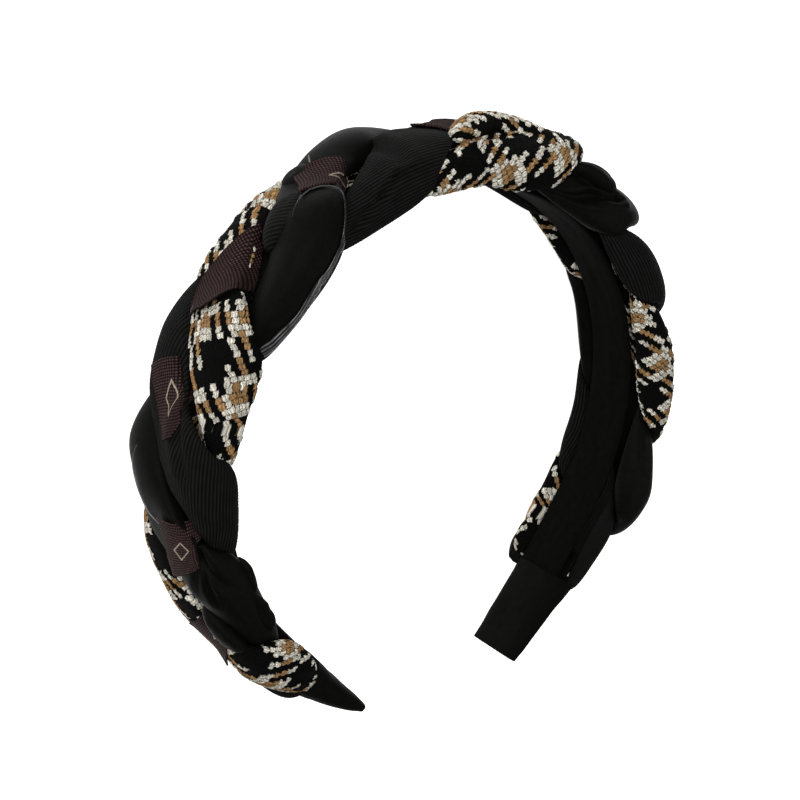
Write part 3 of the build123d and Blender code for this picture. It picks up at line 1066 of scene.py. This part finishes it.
# Rows: hoop length, degrees round the strand and half width.
near_rim = [
    (-64.5, 17.0, 0.9), (-61.9, 35.0, 1.2), (-59.3, 46.0, 1.2), (-56.8, 55.5, 1.1), (-54.2, 63.5, 1.0),
    (-49.6, 75.0, 0.9), (-45.4, 88.5, 0.6), (-41.3, 100.5, 0.4), (-38.2, 111.0, 0.3), (-35.3, 124.0, 0.3),
    (-32.6, 133.0, 0.3), (-30.4, 135.0, 0.3), (-29.0, 126.0, 0.15), (-29.8, 106.0, 0.15), (-31.5, 92.0, 0.25),
    (-34.0, 84.0, 0.25), (-37.0, 76.0, 0.15), (-39.5, 70.0, 0.1),
]
# Rows: hoop length, section angle and half width.
far_rim = [(-92.0, 112.0, 0.1), (-98.0, 113.0, 0.25), (-104.5, 104.0, 0.25), (-106.6, 90.0, 0.1)]
top_rim = [(-23.9, 114.0, 0.1), (-25.1, 104.0, 0.25), (-27.0, 92.0, 0.1)]


# Band with its lining

band_rows = 700
lining_columns = 60
outer_columns = 12
edge_rounding = 0.7
edge_squareness = 8
fold_edge_fade = 6
# Folds of the lining: depth, length along the band, count over its half width and place in the noise.
lining_folds = [(0.3, 12, 2.4, (11, 4)), (0.15, 7, 5, (2, 9))]


def make_band():
    left = -leg_end(-1) + tip_inset
    right = leg_end(1) - tip_inset
    s = np.linspace(left, right, band_rows)[:, None]
    back = np.linspace(1, -1, outer_columns + 2)[1:-1]
    across = np.concatenate([np.linspace(-1, 1, lining_columns), back])[None, :]
    inner = np.concatenate([np.ones(lining_columns), np.zeros(outer_columns)])[None, :]
    half = band_width / 2
    low = band_top - band_thickness
    rounding = edge_rounding * np.abs(across) ** edge_squareness
    folds = 0.0
    for depth, length, count, start in lining_folds:
        folds = folds + ripple(depth, s / length, across * count, start)
    folds = folds * (1 - np.abs(across) ** fold_edge_fade)
    out = np.where(inner > 0, low + rounding + folds, band_top - rounding)
    points = place(s, band_shift + across * half, out)
    uv = np.stack(np.broadcast_arrays(s, across * half), axis=-1)
    piece = grid_object("lining_strip", points, uv, lining, closed=True, caps=True)
    stand_for(piece, "band")


# Tip wraps

wrap_half_width = 9.2
wrap_height = 8.6
tip_half_width = 8.5
wrap_wall = 0.7
wrap_power = 3.4
wrap_overlap = 2.5
wrap_fullness = {-1: 1.5, 1: 0.8}
wrap_rows = 90
wrap_columns = 96
wrap_ripple = 0.3
wrap_ripples_along = 6
wrap_ripple_width = 4


def make_tip_wrap(side, name):
    start = (twist_end if side > 0 else -twist_start) - wrap_overlap
    end = leg_end(side)
    share = np.linspace(0, 1, wrap_rows)[:, None]
    turn = np.linspace(0, 2 * pi, wrap_columns, endpoint=False)[None, :]
    full = 1 - share ** wrap_fullness[side]
    half_width = tip_half_width + (wrap_half_width - tip_half_width) * full
    high = band_top + wrap_wall + (wrap_height - band_top - wrap_wall) * full
    low = band_top - band_thickness - wrap_wall
    across = band_shift + half_width * signed_power(np.cos(turn), 2 / wrap_power)
    out = (high + low) / 2 + (high - low) / 2 * signed_power(np.sin(turn), 2 / wrap_power)
    s = side * (start + (end - start) * share)
    points = place(s, across, out)
    normal = outward_normals(points, points.mean(axis=1, keepdims=True))
    height = ripple(wrap_ripple, share * wrap_ripples_along, across / wrap_ripple_width, start=(3, 0))
    points = points + normal * height[..., None] * mm
    uv = np.stack(np.broadcast_arrays(s, across + out), axis=-1)
    piece = grid_object("cloth_" + name, points, uv, wrap, closed=True, caps=True)
    stand_for(piece, name)


# All pieces, in the order in which they are made

for strand in strand_names:
    make_strand(strand)
make_tweed_roll(tweed_roll)
make_edge_rim("near_rim", "satin", near_rim)
make_rim("far_rim", "satin", far_rim)
make_rim("top_rim", "satin", top_rim)
for lobe in range(len(ribbon_turns)):
    make_ribbon(lobe)
make_band()
make_tip_wrap(-1, "tip_wrap_left")
make_tip_wrap(1, "tip_wrap_right")
for mound in mounds:
    make_mound(*mound)


# Floor, light and camera, with lengths in metres but for the lens and the sensor

floor_size = 6
floor_glow = 0.9
sky_strength = 0.1

floor_material, floor_shader = new_material("floor", floor_grey, roughness=0.9)
floor_shader.inputs["Emission Color"].default_value = (*white, 1.0)
floor_shader.inputs["Emission Strength"].default_value = floor_glow
bpy.ops.mesh.primitive_plane_add(size=floor_size, location=(0, 0, 0))
floor_piece = bpy.context.object
floor_piece.name = "floor"
floor_piece.data.materials.append(floor_material)

world = bpy.data.worlds.new("studio")
bpy.context.scene.world = world
bpy.context.scene.view_settings.view_transform = "Standard"
world.use_nodes = True
sky = world.node_tree.nodes["Background"]
sky.inputs["Color"].default_value = (*white, 1.0)
sky.inputs["Strength"].default_value = sky_strength


def add_light(name, place_at, size, power):
    data = bpy.data.lights.new(name, "AREA")
    data.shape = "DISK"
    data.size = size
    data.energy = power
    light = bpy.data.objects.new(name, data)
    light.location = place_at
    direction = Vector(hoop_centre) - Vector(place_at)
    light.rotation_euler = direction.to_track_quat("-Z", "Y").to_euler()
    bpy.context.collection.objects.link(light)


add_light("key", place_at=(-0.55, 0.55, 0.9), size=0.6, power=12.0)
add_light("fill", place_at=(0.5, -0.3, 0.9), size=0.8, power=4.0)

camera_back = Vector((-0.5501, 0.3860, 0.7405)).normalized()
camera_right = Vector((0.8027, 0.0, 0.5963)).normalized()
camera_roll = -0.207
camera_aim = Vector((-7.547, 8.277, 0.0))
camera_target = Vector(hoop_centre) + camera_aim * mm
camera_distance = 0.42
camera_lens = 74.36
camera_sensor = 36.0
camera_up = camera_back.cross(camera_right).normalized()
tilt = radians(camera_roll)
turned_right = camera_right * cos(tilt) + camera_up * sin(tilt)
turned_up = camera_up * cos(tilt) - camera_right * sin(tilt)
axes = Matrix((turned_right, turned_up, camera_back)).transposed().to_4x4()
camera_data = bpy.data.cameras.new("camera")
camera_data.sensor_width = camera_sensor
camera_data.lens = camera_lens
camera = bpy.data.objects.new("camera", camera_data)
camera.matrix_world = Matrix.Translation(camera_target + camera_back * camera_distance) @ axes
bpy.context.collection.objects.link(camera)
bpy.context.scene.camera = camera
